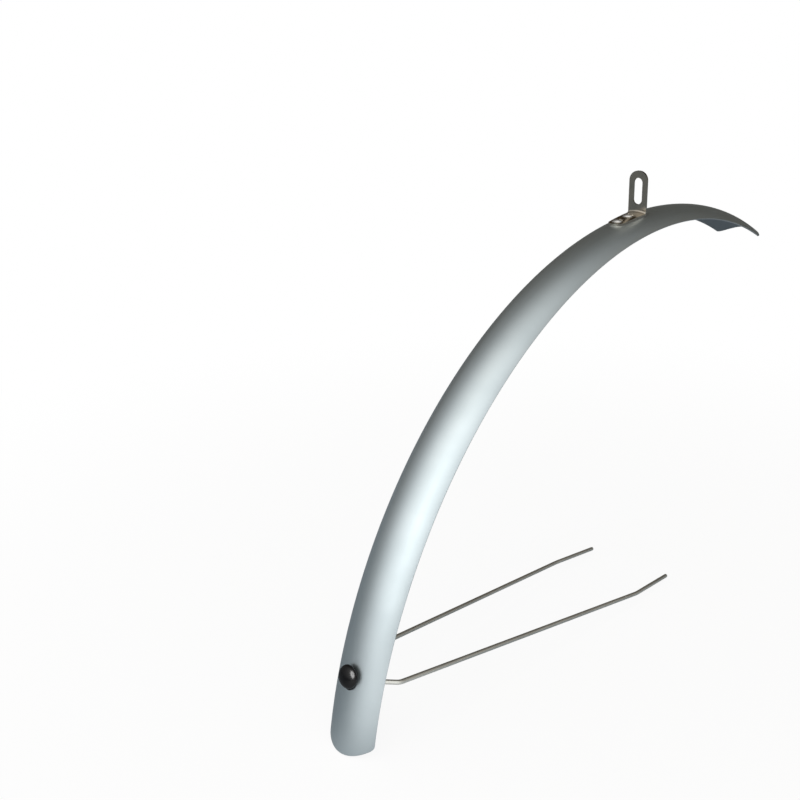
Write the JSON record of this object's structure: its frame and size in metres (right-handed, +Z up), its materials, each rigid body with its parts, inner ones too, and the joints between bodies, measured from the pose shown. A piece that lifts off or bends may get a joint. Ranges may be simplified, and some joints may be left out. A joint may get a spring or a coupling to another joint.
{
  "type": "bicycle mudguard",
  "caption": "Front bicycle mudguard: arched strip rounded across its width, with a slotted crown bracket and a bent wire stay that reaches to the axle.",
  "frame": {"origin": "centre of the bracket's slot, on the tab's front face, which meets the fork crown", "axes": "+X ahead, square to the tab and out of its front face; +Y to the rider's left; +Z up along the slot"},
  "size_m": [0.4987, 0.0778, 0.3249],
  "materials": {
    "blade_silver": "satin silver",
    "stainless": "drawn and pressed stainless",
    "rivet_steel": "bright",
    "black_plastic": "gloss"
  },
  "bodies": {
    "root": {"blade": "blade_silver", "crown_bracket": "stainless", "bracket_rivets": "rivet_steel", "stay": "stainless", "eye_bolt": "stainless", "stay_saddle": "black_plastic", "cap_seat": "black_plastic", "stay_washer": "stainless", "stay_nut": "stainless", "stay_cap": "black_plastic"}
  },
  "joints": []
}
